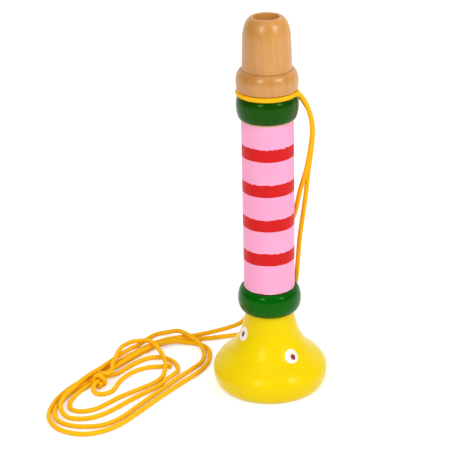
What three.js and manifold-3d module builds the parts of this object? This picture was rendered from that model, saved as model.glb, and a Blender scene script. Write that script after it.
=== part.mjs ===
// A child's turned wooden horn on a cord, standing on its bell.
// Lengths are in millimetres and z is up. The origin is on the floor, at the centre of the bell's rim.
import * as THREE from 'three';
import { mergeVertices } from 'three/addons/utils/BufferGeometryUtils.js';
import Module from 'manifold-3d';

const wasm = await Module();
wasm.setup();

// Driving sizes

const fit = 0.25; // radial clearance of a glued or pushed joint
const endGap = 0.3; // play at the end of a tenon, and between two lengths of the cord
const turnedSides = 36; // facets round a turned piece
const smallSides = 24; // facets round the reed's pieces
const hangSides = 8; // facets round a hanging length of cord
const loopSides = 6; // facets round the cord where it lies in loops
const cutMargin = 1; // how far a cutting shape reaches past what it cuts

const cord = {
  diameter: 2.1, meltedEnd: 2.7, clearance: 0.3, neckRadius: 12.4, restHeight: 1.1, layGap: 0.45,
};

const tube = { radius: 11.2, length: 78.4, bore: 6.5, tenonWall: 1.9 };

const bell = {
  height: 36.4, neckRadius: 10.4, lipRadius: 25.45, lipHeight: 7.4,
  footInner: 19.0, footOuter: 22.1, socketDepth: 9.3,
  lipHandle: 3.8, waistRadius: 12.7, waistHandle: 15.7, flareTurn: 0.55, boreHandle: 11.0, mouthHandle: 9.0,
};

const lowerRing = { height: 11.0, bottomRadius: 11.4, maxRadius: 14.0, maxHeight: 5.1, topRadius: 11.6 };
const upperRing = { height: 11.3, bottomRadius: 11.8, maxRadius: 13.3, maxHeight: 6.2, topRadius: 12.6 };

const mouthpiece = {
  height: 32.35, collarBottom: 12.7, collarRadius: 13.2, collarMax: 5.2, collarHeight: 10.1,
  noseBottom: 10.6, noseTop: 10.2, domeStart: 22.5, lipRadius: 6.0, mouthRadius: 5.4, lipRound: 0.5,
  chamberDepth: 23.5, chamberTaper: 6.5, spigotLength: 14.0, plugBore: 4.25,
};

const reed = {
  plugLength: 11.0, shallotRadius: 2.9, shallotBore: 1.9, shallotLength: 22.0, endWall: 1.2,
  tableDepth: 1.5, layRise: 0.6, layLength: 15.0, slotWidth: 2.2, slotLength: 13.5, slotStart: 0.5,
  tongueWidth: 4.2, tongueThickness: 0.4, tongueGap: 0.3, tongueRoot: 3.6,
  collarHeight: 4.0, collarGap: 0.3, collarOuter: 3.95,
};

// Heights of the seats up the pipe's axis

const lowerRingZ = bell.height;
const tubeZ = lowerRingZ + lowerRing.height;
const upperRingZ = tubeZ + tube.length;
const seatZ = upperRingZ + upperRing.height;
const tenonRadius = tube.bore + tube.tenonWall;
const socketRadius = tenonRadius + fit;
const coveRadius = cord.diameter / 2 + cord.clearance;
const plugZ = seatZ - mouthpiece.spigotLength;
const shallotZ = plugZ + reed.plugLength;
const reedCollarZ = shallotZ + reed.collarGap;
const layZ = reedCollarZ + reed.collarHeight;

// Solids

function welded(geometry) {
  const bare = geometry.clone();
  bare.deleteAttribute('normal');
  bare.deleteAttribute('uv');
  return mergeVertices(bare, 1e-4);
}

function toSolid(geometry) {
  const mesh = welded(geometry);
  const vertProperties = new Float32Array(mesh.attributes.position.array);
  const triVerts = new Uint32Array(mesh.index.array);
  return new wasm.Manifold(new wasm.Mesh({ numProp: 3, vertProperties, triVerts }));
}

function toGeometry(solid) {
  const { vertProperties, triVerts } = solid.getMesh();
  const geometry = new THREE.BufferGeometry();
  geometry.setAttribute('position', new THREE.BufferAttribute(new Float32Array(vertProperties), 3));
  geometry.setIndex(new THREE.BufferAttribute(new Uint32Array(triVerts), 1));
  return geometry;
}

function turned(outline, sides = turnedSides, divisions = 5) {
  const geometry = new THREE.LatheGeometry(outline.getPoints(divisions), sides);
  return geometry.rotateX(Math.PI / 2);
}

// An arc of an upright ellipse, joined to the path so far by a straight line where it starts elsewhere.
function bulge(outline, centreRadius, centreZ, radiusSize, heightSize, from, to) {
  outline.absellipse(centreRadius, centreZ, radiusSize, heightSize, from, to, false);
}

function makeBell() {
  const shoulderZ = bell.height - bell.socketDepth;
  const p = new THREE.Path();
  p.moveTo(bell.footInner, 0);
  p.lineTo(bell.footOuter, 0);
  bulge(p, bell.footOuter, bell.lipHeight, bell.lipRadius - bell.footOuter, bell.lipHeight, -Math.PI / 2, 0);
  const crestZ = bell.lipHeight + bell.lipHandle;
  const waistZ = bell.height - bell.waistHandle;
  const { lerp } = THREE.MathUtils;
  const turnRadius = lerp(bell.lipRadius, bell.waistRadius, bell.flareTurn);
  p.quadraticCurveTo(bell.lipRadius, crestZ, turnRadius, lerp(crestZ, waistZ, bell.flareTurn));
  p.quadraticCurveTo(bell.waistRadius, waistZ, bell.neckRadius, bell.height);
  p.lineTo(socketRadius, bell.height);
  p.lineTo(socketRadius, shoulderZ);
  p.lineTo(tube.bore, shoulderZ);
  const throatZ = shoulderZ - bell.boreHandle;
  p.bezierCurveTo(tube.bore, throatZ, bell.footInner, bell.mouthHandle, bell.footInner, 0);
  return turned(p, turnedSides, 8);
}

function makeRing(ring, z, cove) {
  const top = z + ring.height;
  const lipZ = top - cove;
  const p = new THREE.Path();
  p.moveTo(socketRadius, z);
  p.lineTo(ring.bottomRadius, z);
  bulge(p, ring.bottomRadius, z + ring.maxHeight, ring.maxRadius - ring.bottomRadius, ring.maxHeight,
    -Math.PI / 2, 0);
  bulge(p, ring.topRadius, z + ring.maxHeight, ring.maxRadius - ring.topRadius, lipZ - z - ring.maxHeight,
    0, Math.PI / 2);
  if (cove > 0) {
    p.lineTo(cord.neckRadius, lipZ);
    p.absarc(cord.neckRadius, top, cove, -Math.PI / 2, -Math.PI, true);
  }
  p.lineTo(socketRadius, top);
  p.lineTo(socketRadius, z);
  return turned(p, turnedSides, 3);
}

function makeTube() {
  const bottom = lowerRingZ - bell.socketDepth + endGap;
  const top = seatZ - endGap;
  const p = new THREE.Path();
  p.moveTo(tube.bore, bottom);
  p.lineTo(tenonRadius, bottom);
  p.lineTo(tenonRadius, tubeZ);
  p.lineTo(tube.radius, tubeZ);
  p.lineTo(tube.radius, upperRingZ);
  p.lineTo(tenonRadius, upperRingZ);
  p.lineTo(tenonRadius, top);
  p.lineTo(tube.bore, top);
  p.lineTo(tube.bore, bottom);
  return turned(p);
}

function makeMouthpiece() {
  const m = mouthpiece;
  const spigotRadius = tube.bore - fit;
  const top = seatZ + m.height;
  const chamberZ = top - m.chamberDepth;
  const domeZ = seatZ + m.domeStart;
  const p = new THREE.Path();
  p.moveTo(m.plugBore, plugZ);
  p.lineTo(spigotRadius, plugZ);
  p.lineTo(spigotRadius, seatZ);
  p.lineTo(cord.neckRadius - coveRadius, seatZ);
  p.absarc(cord.neckRadius, seatZ, coveRadius, Math.PI, Math.PI / 2, true);
  p.lineTo(m.collarBottom, seatZ + coveRadius);
  bulge(p, m.collarBottom, seatZ + m.collarMax, m.collarRadius - m.collarBottom, m.collarMax - coveRadius,
    -Math.PI / 2, 0);
  bulge(p, m.noseBottom, seatZ + m.collarMax, m.collarRadius - m.noseBottom, m.collarHeight - m.collarMax,
    0, Math.PI / 2);
  p.lineTo(m.noseTop, domeZ);
  bulge(p, m.lipRadius, domeZ, m.noseTop - m.lipRadius, top - domeZ, 0, Math.PI / 2);
  p.lineTo(m.mouthRadius + m.lipRound, top);
  bulge(p, m.mouthRadius + m.lipRound, top - m.lipRound, m.lipRound, m.lipRound, Math.PI / 2, Math.PI);
  p.lineTo(m.mouthRadius, chamberZ);
  p.lineTo(m.plugBore, chamberZ - m.chamberTaper);
  p.lineTo(m.plugBore, plugZ);
  return turned(p, turnedSides, 3);
}

// How far the table stands back from the tongue at height z: flat by the collar, curving away to the tip.
function layAt(z) {
  const u = Math.max(0, z - layZ) / reed.layLength;
  return reed.layRise * u * u;
}

function acrossX(shape, width) {
  // The shape is drawn with y across the page and z up it, and stands width wide about the plane x = 0.
  const geometry = new THREE.ExtrudeGeometry(shape, { depth: width, bevelEnabled: false });
  return geometry.translate(0, 0, -width / 2).rotateY(Math.PI / 2).rotateX(Math.PI / 2);
}

const laySteps = 8;
const layHeights = Array.from({ length: laySteps + 1 }, (_, i) => layZ + (i / laySteps) * reed.layLength);

function makeReedBody() {
  const r = reed;
  const top = shallotZ + r.shallotLength;
  const p = new THREE.Path();
  p.moveTo(r.shallotBore, plugZ);
  p.lineTo(mouthpiece.plugBore - fit, plugZ);
  p.lineTo(mouthpiece.plugBore - fit, shallotZ);
  p.lineTo(r.shallotRadius, shallotZ);
  p.lineTo(r.shallotRadius, top - r.endWall);
  p.lineTo(r.shallotRadius - r.endWall, top);
  p.lineTo(0, top);
  p.lineTo(0, top - r.endWall);
  p.lineTo(r.shallotBore, top - r.endWall);
  p.lineTo(r.shallotBore, plugZ);
  const body = toSolid(turned(p, smallSides));

  const away = -2 * r.shallotRadius;
  const table = new THREE.Shape();
  table.moveTo(away, shallotZ);
  table.lineTo(-r.tableDepth, shallotZ);
  table.lineTo(-r.tableDepth, layZ);
  layHeights.slice(1).forEach((z) => table.lineTo(-r.tableDepth + layAt(z), z));
  table.lineTo(-r.tableDepth + r.layRise, top + cutMargin);
  table.lineTo(away, top + cutMargin);
  table.closePath();

  const slot = new THREE.BoxGeometry(r.slotWidth, r.shallotRadius, r.slotLength);
  slot.translate(0, -r.shallotRadius / 2, layZ + r.slotStart + r.slotLength / 2);
  const wide = 2 * (r.shallotRadius + cutMargin);
  return toGeometry(body.subtract(toSolid(acrossX(table, wide))).subtract(toSolid(slot)));
}

function makeTongue() {
  const r = reed;
  const inner = -r.tableDepth - r.tongueGap;
  const outer = inner - r.tongueThickness;
  const strip = new THREE.Shape();
  const rootZ = layZ - r.tongueRoot;
  strip.moveTo(inner, rootZ);
  layHeights.forEach((z) => strip.lineTo(inner - layAt(z) / 2, z));
  layHeights.slice().reverse().forEach((z) => strip.lineTo(outer - layAt(z) / 2, z));
  strip.lineTo(outer, rootZ);
  strip.closePath();
  return acrossX(strip, r.tongueWidth);
}

function makeReedCollar() {
  const r = reed;
  const holeRadius = r.shallotRadius + fit;
  const flat = r.tableDepth + r.tongueGap + r.tongueThickness + fit;
  const half = Math.acos(flat / holeRadius);
  const ring = new THREE.Shape();
  ring.absarc(0, 0, r.collarOuter, 0, 2 * Math.PI, false);
  const hole = new THREE.Path();
  hole.absarc(0, 0, holeRadius, -Math.PI / 2 + half, -Math.PI / 2 - half + 2 * Math.PI, false);
  hole.closePath();
  ring.holes.push(hole);
  const geometry = new THREE.ExtrudeGeometry(ring, {
    depth: r.collarHeight, bevelEnabled: false, curveSegments: smallSides / 2,
  });
  return geometry.translate(0, 0, reedCollarZ);
}

// The cord: one length, tied round the neck, hanging down behind the pipe and lying in loops on the floor.
// Points are chosen by hand. On the floor they are a plan, and heights come from what each length lies on.

// The ends of the turn round the neck leave it at the right, one from the front and one from behind.
const hang1 = [
  [11.3, -5.1, 137.1], [12.4, -4.1, 137.0], [13.3, -3.0, 136.6], [14.3, -2.3, 135.2], [15.6, -1.5, 133.0],
  [17.1, -0.6, 129.4], [18.4, 0.5, 124.6], [18.9, 1.8, 117.8], [17.9, 2.8, 108.4], [16.2, 3.9, 99.3],
  [13.6, 5.4, 89.0], [11.8, 7.3, 79.9], [9.2, 10.2, 70.5], [6.2, 13.0, 61.0], [2.9, 15.6, 51.5],
  [-0.8, 18.4, 41.5], [-4.6, 21.2, 32.5], [-8.6, 24.2, 23.5], [-12.7, 27.6, 15.3], [-18.7, 33.0, 9.6],
  [-25.4, 38.2, 5.0], [-31.0, 41.4, 2.0],
];
const hang2 = [
  [8.8, 8.8, 137.1], [10.4, 9.0, 136.8], [11.6, 8.5, 135.9], [12.4, 7.5, 134.8], [13.5, 6.4, 133.0],
  [15.4, 5.2, 130.6], [17.4, 4.6, 127.0], [18.7, 4.5, 122.8], [19.2, 5.2, 116.4], [18.5, 6.1, 107.4],
  [17.4, 6.8, 98.6], [16.5, 7.1, 89.0], [15.3, 7.4, 79.6], [13.6, 8.1, 66.0], [12.8, 9.0, 55.3],
  [12.1, 10.4, 46.0], [10.9, 13.4, 38.6], [8.8, 17.4, 31.2], [6.0, 21.8, 24.2], [2.8, 26.4, 17.5],
  [-0.8, 30.8, 11.4], [-4.8, 34.8, 6.4], [-9.6, 38.5, 3.0], [-15.2, 40.8, 1.5], [-21.0, 40.2],
  [-27.0, 38.7],
];
const floor1 = {
  toFirstBend: [
    [-36.5, 40.9], [-42.6, 39.5], [-47.4, 38.0], [-52, 35.6], [-57, 31.2], [-61.2, 26.8], [-65.3, 21.8],
    [-70, 15.6], [-75, 9.7], [-80.7, 3.2], [-85.8, -3], [-90.6, -9.9], [-94.6, -18.6], [-96.6, -28],
    [-96, -36], [-91.8, -43.6], [-86.5, -47.2], [-80.8, -48.7],
  ],
  toSecondBend: [
    [-76, -48.2], [-70.5, -45.7], [-65.3, -41.3], [-59.3, -33.3], [-51.2, -21], [-43.6, -10], [-36.8, -0.8],
    [-32.3, 5.7], [-29.1, 12.6], [-28.1, 18.5], [-28.4, 25], [-30.7, 29.9], [-35.5, 33], [-41.5, 34.1],
    [-46.4, 33], [-50.4, 30.8], [-54.4, 27.6], [-58.2, 23.8], [-62, 19.2], [-66.5, 13.3], [-71.3, 6.8],
    [-76.6, 0], [-81.8, -6.6], [-85.3, -12], [-87.4, -17.2], [-88.4, -22], [-88, -26.4], [-85.9, -28.8],
    [-82.6, -29.6],
  ],
  toKnot: [
    [-77.4, -28], [-72.2, -23.2], [-66.9, -17.3], [-61.2, -12.4], [-56.2, -8.2], [-51.4, -3.4], [-48.7, 1.6],
    [-47.9, 8], [-48.8, 13.6], [-50.5, 19.2], [-53, 23.6], [-56.6, 27.6], [-60.8, 30.2], [-64.9, 29.2],
    [-68.1, 23.4], [-69.9, 16.6], [-71.1, 10.4, 5], [-71.9, 5, 5.8], [-71.6, 0.6, 5.7], [-72.2, -3.2, 5.8],
    [-73.8, -5.2, 6],
  ],
};
const floor2 = {
  toFirstBend: [
    [-33.2, 37.8], [-38, 37.2], [-42.4, 36.9], [-46.3, 35.6], [-50.4, 33.5], [-55.2, 29.3], [-59.2, 25],
    [-63.2, 20.1], [-68, 13.9], [-73, 7.9], [-78.7, 1.4], [-83.8, -4.8], [-88.4, -11.5], [-92, -19.7],
    [-94, -27], [-94.1, -32.6], [-92.3, -37], [-88.2, -40.5], [-83, -42.3], [-77.5, -42.5],
  ],
  toSecondBend: [
    [-72.9, -41.6], [-68.5, -39], [-63.7, -33.8], [-58.8, -26.2], [-52.7, -16.9], [-45.8, -6.6], [-39.5, 2.8],
    [-35, 9.2], [-31.9, 14], [-30.5, 19.6], [-31.3, 25.6], [-33.8, 30.4], [-37.3, 35.2], [-41.3, 39.6],
    [-45.5, 42.8], [-50, 44.3], [-54.4, 42.6], [-57.8, 38.6], [-60.8, 34], [-63.4, 29], [-65.8, 24],
    [-69, 18.2], [-72.6, 12.4], [-76.4, 6.8], [-80.2, 1.6], [-83, -3], [-86, -8.6], [-89, -14.8],
    [-91.2, -20.8], [-92, -26], [-91.3, -31], [-88.6, -34.4], [-83, -36],
  ],
  toKnot: [
    [-77.6, -35], [-72.6, -31.8], [-68.2, -27.4], [-63.7, -22], [-58.6, -16.3], [-53.2, -10.8], [-47.8, -4.8],
    [-44, 0], [-42.2, 6], [-42.9, 11.6], [-46.2, 16.8], [-51, 19.6], [-56.4, 18.7], [-61, 15.2],
    [-65.5, 9.8], [-69.4, 4.6],
  ],
  throughKnot: [
    [-72.4, -0.2, 2.6], [-75.2, -4.8, 3.8], [-77.2, -7.6, 3.8], [-78.9, -10, 3.4], [-79.2, -12.4, 2],
    [-77.5, -14.2], [-74.4, -14.5], [-71.5, -12.8], [-69.8, -9.8], [-68.9, -6.2], [-67.6, -2.1], [-65.5, 1.9],
    [-63, 5.2], [-60, 7.8], [-55, 10.1], [-50.5, 10.5], [-45.6, 10.6, 1.35],
  ],
};
const knot = { turns: 1.75, pitch: 2.65, startAngle: 95 };

const hangStart = 4; // the point of each hanging end where the turn round the neck ends
const spanSteps = 10; // samples between two hand-chosen points
const cordStray = 0.1; // how far a step of the tube strays from the cord's own line
const longestStep = 3 * cord.diameter;
const shortestStep = 0.2; // at the ends of a trimmed line
const layReach = cord.diameter + cord.layGap;
const climb = 0.35; // the steepest rise of a low hump
const humpTop = 1.8; // length by which a hump reaches past what it crosses, before it falls
const knotFade = 5; // length before the knot over which a strand leaves the pile
const ownReach = 4 * cord.diameter; // points nearer than this along a strand are the same run of it

function smoothLine(points) {
  const curve = new THREE.CatmullRomCurve3(
    points.map(([x, y, z = cord.restHeight]) => new THREE.Vector3(x, y, z)), false, 'centripetal');
  const count = (points.length - 1) * spanSteps;
  return Array.from({ length: count + 1 }, (_, i) => curve.getPoint(i / count));
}

function runLengths(line) {
  const along = [0];
  for (let i = 1; i < line.length; i += 1) along.push(along[i - 1] + line[i].distanceTo(line[i - 1]));
  return along;
}

// One smooth line for a strand, with each point's distance along it. Each named length is a slice of it.
function planned(hang, lengths, onward = []) {
  const onFloor = Object.values(lengths);
  const line = smoothLine([...hang, ...onFloor.flat(), ...onward]);
  line.forEach((p) => { p.z = Math.max(p.z, cord.restHeight); });
  const along = runLengths(line.map((p) => new THREE.Vector3(p.x, p.y, 0)));
  const points = line.map((at, i) => ({ at, along: along[i], strand: lengths }));
  let start = (hang.length - 1) * spanSteps;
  const drop = line.slice(hangStart * spanSteps, start + 1);
  const pieces = onFloor.map((length, i) => {
    const last = i === onFloor.length - 1;
    const end = start + (length.length + (last ? onward.length / 2 : 0)) * spanSteps;
    const piece = points.slice(i === 0 ? start : start + 1, end + 1);
    start = end;
    return piece;
  });
  return [drop, ...pieces];
}

// Lifts one length of a strand over all that was laid before it, in low humps with rounded ends.
// Where it runs into the knot, the lift fades out over its last stretch.
function rest(stretch, laid, fade = 0) {
  const sameRun = (p, q) => p.strand === q.strand && Math.abs(p.along - q.along) < ownReach;
  const run = (i, j) => Math.abs(stretch[i].along - stretch[j].along);
  const over = stretch.map((p) => {
    let z = -Infinity;
    for (const q of laid) {
      const apart = Math.hypot(p.at.x - q.at.x, p.at.y - q.at.y);
      if (apart < layReach && !sameRun(p, q)) z = Math.max(z, q.at.z + Math.sqrt(layReach ** 2 - apart ** 2));
    }
    return z;
  });
  const last = stretch.length - 1;
  const raised = stretch.map((p, i) => {
    const kept = fade > 0 ? Math.min(1, run(i, last) / fade) : 1;
    const hump = Math.max(p.at.z, ...over.map((z, j) => z - climb * Math.max(0, run(i, j) - humpTop)));
    return p.at.z + kept * (hump - p.at.z);
  });
  stretch.forEach((p, i) => {
    const reach = Math.min(humpTop, run(i, 0), run(i, last));
    const around = raised.filter((_, j) => run(i, j) <= reach);
    p.at.z = around.reduce((a, b) => a + b, 0) / around.length;
  });
}

// The first strand's end winds round the second strand, which runs straight through the knot.
const knotAxis = floor2.throughKnot.slice(1, 3).map((p) => new THREE.Vector3(...p));
const knotAlong = knotAxis[1].clone().sub(knotAxis[0]).normalize();
const knotSide = new THREE.Vector3(1, 0, 0).addScaledVector(knotAlong, -knotAlong.x).normalize();
const windSteps = 32;
const winding = Array.from({ length: windSteps + 1 }, (_, i) => {
  const turn = (i / windSteps) * knot.turns;
  const angle = THREE.MathUtils.degToRad(knot.startAngle) + 2 * Math.PI * turn;
  return knotAxis[0].clone()
    .addScaledVector(knotAlong, knot.pitch * turn)
    .addScaledVector(knotSide, layReach * Math.cos(angle))
    .add(new THREE.Vector3(0, 0, layReach * Math.sin(angle)));
});

const [drop1, a1, a2, a3] = planned(hang1, floor1, [winding[0], winding[3]].map((p) => p.toArray()));
const [drop2, b1, b2, b3, b4] = planned(hang2, floor2);
const pile = [];
for (const stretch of [a1, b1, a2, b2, b3, b4, a3]) {
  rest(stretch, pile, stretch === a3 ? knotFade : 0);
  pile.push(...stretch);
}

// From behind at the right, round the back and the left, to the front at the right.
const neckFrom = Math.atan2(hang2[0][1], hang2[0][0]);
const neckTo = Math.atan2(hang1[0][1], hang1[0][0]) + 2 * Math.PI;
const neckSteps = 24;
const neckTurn = Array.from({ length: neckSteps + 1 }, (_, i) => {
  const angle = neckFrom + (i / neckSteps) * (neckTo - neckFrom);
  return [cord.neckRadius * Math.cos(angle), cord.neckRadius * Math.sin(angle), seatZ];
});

// A path with a corner at each of its points, one step apart.
class PointPath extends THREE.Curve {
  constructor(points) {
    super();
    this.points = points;
  }

  getPoint(t, target = new THREE.Vector3()) {
    const at = t * (this.points.length - 1);
    const i = Math.min(Math.floor(at), this.points.length - 2);
    return target.copy(this.points[i]).lerp(this.points[i + 1], at - i);
  }

  getUtoTmapping(u) {
    return u;
  }
}

// Steps as long as the line's own bends allow.
function inSteps(line) {
  const steps = [line[0]];
  let from = 0;
  for (let to = 2; to < line.length; to += 1) {
    const chord = new THREE.Line3(line[from], line[to]);
    const off = line.slice(from + 1, to).some(
      (p) => chord.closestPointToPoint(p, true, new THREE.Vector3()).distanceTo(p) > cordStray);
    if (off || chord.distance() > longestStep) {
      from = to - 1;
      steps.push(line[from]);
    }
  }
  return [...steps, line.at(-1)];
}

function trimmed(line, cut) {
  const along = runLengths(line);
  const end = along.at(-1) - cut;
  const inner = line.filter((_, i) => along[i] > cut + shortestStep && along[i] < end - shortestStep);
  const first = line[0].clone().lerp(inner[0], cut / line[0].distanceTo(inner[0]));
  const last = line.at(-1).clone().lerp(inner.at(-1), cut / line.at(-1).distanceTo(inner.at(-1)));
  return [first, ...inner, last];
}

function tubeAlong(line, sides) {
  const points = inSteps(trimmed(line, endGap / 2));
  const section = new THREE.Shape();
  for (let i = 0; i < sides; i += 1) {
    const angle = ((i + 0.5) / sides) * 2 * Math.PI;
    const corner = [Math.cos(angle) * cord.diameter / 2, Math.sin(angle) * cord.diameter / 2];
    if (i === 0) section.moveTo(...corner);
    else section.lineTo(...corner);
  }
  section.closePath();
  return new THREE.ExtrudeGeometry(section, { steps: points.length - 1, extrudePath: new PointPath(points) });
}

const placesOf = (pieces) => pieces.flat().map((p) => p.at);
const neckSpans = [...hang2.slice(1, hangStart + 2).reverse(), ...neckTurn, ...hang1.slice(1, hangStart + 2)];
const neckLine = smoothLine(neckSpans).slice(spanSteps, -spanSteps);
const loops1 = placesOf([a1, a2, a3]);
const loops2 = placesOf([b1, b2, b3]);
const tail = placesOf([b4]);

function makeTail() {
  const tip = new THREE.SphereGeometry(cord.meltedEnd / 2, hangSides, loopSides);
  tip.translate(tail.at(-1).x, tail.at(-1).y, Math.max(tail.at(-1).z, cord.meltedEnd / 2));
  return toGeometry(toSolid(tubeAlong(tail, hangSides)).add(toSolid(tip)));
}

// The least clear distance between two runs of cord, leaving out what is one run.
function leastGap(lineA, lineB) {
  const [alongA, alongB] = [runLengths(lineA), runLengths(lineB)];
  let least = Infinity;
  lineA.forEach((p, i) => lineB.forEach((q, j) => {
    if (lineA === lineB && Math.abs(alongA[i] - alongB[j]) < ownReach) return;
    least = Math.min(least, p.distanceTo(q));
  }));
  return (least - cord.diameter).toFixed(2);
}

console.log('Least gap of the first strand to itself', leastGap(loops1, loops1), 'mm');
console.log('Least gap of the second strand to itself', leastGap(loops2, loops2), 'mm');
console.log('Least gap between the two strands on the floor', leastGap(loops1, loops2), 'mm');
console.log('Least gap between the turns of the knot', leastGap(winding, winding), 'mm');

// Materials and the assembly

const finish = (color, roughness, metalness = 0) => () => (
  new THREE.MeshStandardMaterial({ color, roughness, metalness }));
const wood = finish(0xd9a566, 0.45);
const greenPaint = finish(0x0f6410, 0.2);
const pinkPaint = finish(0xf79cc6, 0.3);
const yellowPaint = finish(0xf2d600, 0.2);
const resin = finish(0xe9e4d6, 0.5);
const brass = finish(0xc9a24a, 0.3, 0.9);
const braid = finish(0xf5a623, 0.85);

const group = new THREE.Group();

function addPiece(name, geometry, material) {
  const mesh = new THREE.Mesh(geometry, material());
  mesh.name = name;
  group.add(mesh);
}

addPiece('bell', makeBell(), yellowPaint);
addPiece('lower_ring', makeRing(lowerRing, lowerRingZ, 0), greenPaint);
addPiece('tube', makeTube(), pinkPaint);
addPiece('upper_ring', makeRing(upperRing, upperRingZ, coveRadius), greenPaint);
addPiece('mouthpiece', makeMouthpiece(), wood);
addPiece('reed_body', makeReedBody(), resin);
addPiece('reed_tongue', makeTongue(), brass);
addPiece('reed_collar', makeReedCollar(), resin);
addPiece('cord_neck_loop', tubeAlong(neckLine, hangSides), braid);
addPiece('cord_drop_a', tubeAlong(drop1, hangSides), braid);
addPiece('cord_drop_b', tubeAlong(drop2, hangSides), braid);
addPiece('cord_loops_a', tubeAlong(loops1, loopSides), braid);
addPiece('cord_loops_b', tubeAlong(loops2, loopSides), braid);
addPiece('cord_knot', tubeAlong(winding, loopSides), braid);
addPiece('cord_tail', makeTail(), braid);

export default group;
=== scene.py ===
"""A child's turned wooden horn on a cord, in soft studio light.

Sizes and places on the horn are in millimetres. Those of camera, floor and lamps are in metres.
"""

import math
from types import SimpleNamespace

import bpy
import numpy as np
from mathutils import Matrix, Vector


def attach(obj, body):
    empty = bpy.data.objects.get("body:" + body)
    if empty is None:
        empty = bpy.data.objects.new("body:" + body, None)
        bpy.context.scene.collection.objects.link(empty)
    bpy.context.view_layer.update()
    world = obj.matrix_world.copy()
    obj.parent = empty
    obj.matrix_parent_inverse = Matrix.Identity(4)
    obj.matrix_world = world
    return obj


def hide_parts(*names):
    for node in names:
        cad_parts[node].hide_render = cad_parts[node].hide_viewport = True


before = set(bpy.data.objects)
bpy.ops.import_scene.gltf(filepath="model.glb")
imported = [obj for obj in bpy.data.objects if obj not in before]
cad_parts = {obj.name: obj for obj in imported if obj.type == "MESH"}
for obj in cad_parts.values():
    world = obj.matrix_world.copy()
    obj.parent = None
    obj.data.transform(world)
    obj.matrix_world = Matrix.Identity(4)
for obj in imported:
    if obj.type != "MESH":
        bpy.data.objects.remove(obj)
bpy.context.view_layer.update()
scene = bpy.context.scene
MM = 0.001
WHITE = (1, 1, 1, 1)


# Sizes of the turned pieces

FIT = 0.25  # radial clearance of a glued or pushed joint
END_GAP = 0.3  # play at the end of a tenon

TUBE = SimpleNamespace(radius=11.2, length=78.4, bore=6.5, tenon_wall=1.9, edge=0.12)
BELL = SimpleNamespace(
    height=36.4, neck_radius=10.4, lip_radius=25.45, lip_height=7.4, foot_inner=19.0, foot_outer=22.1,
    foot_bevel=(0.3, 0.4), socket_depth=9.3, bore_handle=11.0, mouth_handle=9.0,
)
LOWER_RING = SimpleNamespace(
    height=11.0, bottom_radius=11.4, max_radius=14.0, max_height=5.1, top_radius=11.6,
)
UPPER_RING = SimpleNamespace(
    height=11.3, bottom_radius=11.8, max_radius=13.3, max_height=6.2, top_radius=11.4,
)
MOUTHPIECE = SimpleNamespace(
    height=32.35, collar_bottom=12.7, collar_radius=13.2, collar_max=5.2, collar_height=10.1,
    collar_end_angle=88, nose_start=10.15, nose_bottom=10.6, nose_top=10.2, dome_start=22.5,
    lip_radius=6.0, lip_round=0.5, mouth_radius=5.4, chamber_depth=23.5, chamber_taper=6.5,
    spigot_length=14.0, spigot_bevel=(0.4, 0.6), plug_bore=4.25,
)

# Degrees by which the bell's wall leans in, at shares of its length from the lip up to the neck
BELL_LEAN = [(0, 0), (0.08, 28), (0.2, 46), (0.29, 53), (0.43, 36), (0.58, 27), (0.74, 15), (1, 9)]

RING_TOP = BELL.height + LOWER_RING.height
TUBE_TOP = RING_TOP + TUBE.length
SEAT_Z = TUBE_TOP + UPPER_RING.height  # the mouthpiece's seat, half way up the cord's groove
TENON = TUBE.bore + TUBE.tenon_wall
SOCKET = TENON + FIT


# Sizes of the cord

CORD = 2.1  # diameter
MELTED_END = 2.7  # diameter
CORD_CLEARANCE = 0.3
NECK_RADIUS = 12.4  # of the cord's middle, round the neck
COVE = CORD / 2 + CORD_CLEARANCE  # radius of the groove that it lies in
REST = 1.1  # height of its middle where it lies on the floor
LAY_GAP = 0.45
LAY_REACH = CORD + LAY_GAP  # least distance between the middles of two runs
OWN_REACH = 4 * CORD  # points nearer than this along a strand are the same run of it
CLIMB = 0.35  # steepest rise of a hump
HUMP_TOP = 1.8  # how far a hump reaches past what it crosses, before it falls
KNOT_FADE = 5.0  # length before the knot over which a strand leaves the pile
KNOT_TURNS = 1.75
KNOT_PITCH = 2.65
KNOT_START = 95.0  # degrees


# Camera

LENS, SENSOR = 126.96, 36.0  # focal length and width of the picture, in millimetres
CAMERA_PLACE = Vector((0.0, -0.6316, 0.3507))
CAMERA_BACK = Vector((0.0275, -0.9168, 0.3984))  # the way from what it looks at
CAMERA_RIGHT = Vector((0.9996, 0.0207, -0.0213))
CLIP_NEAR, CLIP_FAR = 0.05, 20.0


def make_camera():
    back = CAMERA_BACK.normalized()
    right = (CAMERA_RIGHT - back * CAMERA_RIGHT.dot(back)).normalized()
    up = back.cross(right)
    data = bpy.data.cameras.new("camera")
    data.sensor_width = SENSOR
    data.lens = LENS
    data.clip_start = CLIP_NEAR
    data.clip_end = CLIP_FAR
    camera = bpy.data.objects.new("camera", data)
    scene.collection.objects.link(camera)
    place = Matrix((right, up, back)).transposed().to_4x4()
    place.translation = CAMERA_PLACE
    camera.matrix_world = place
    scene.camera = camera


make_camera()


# The cord's route, by listed points. On the floor they are a plan, and most have no height

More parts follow.
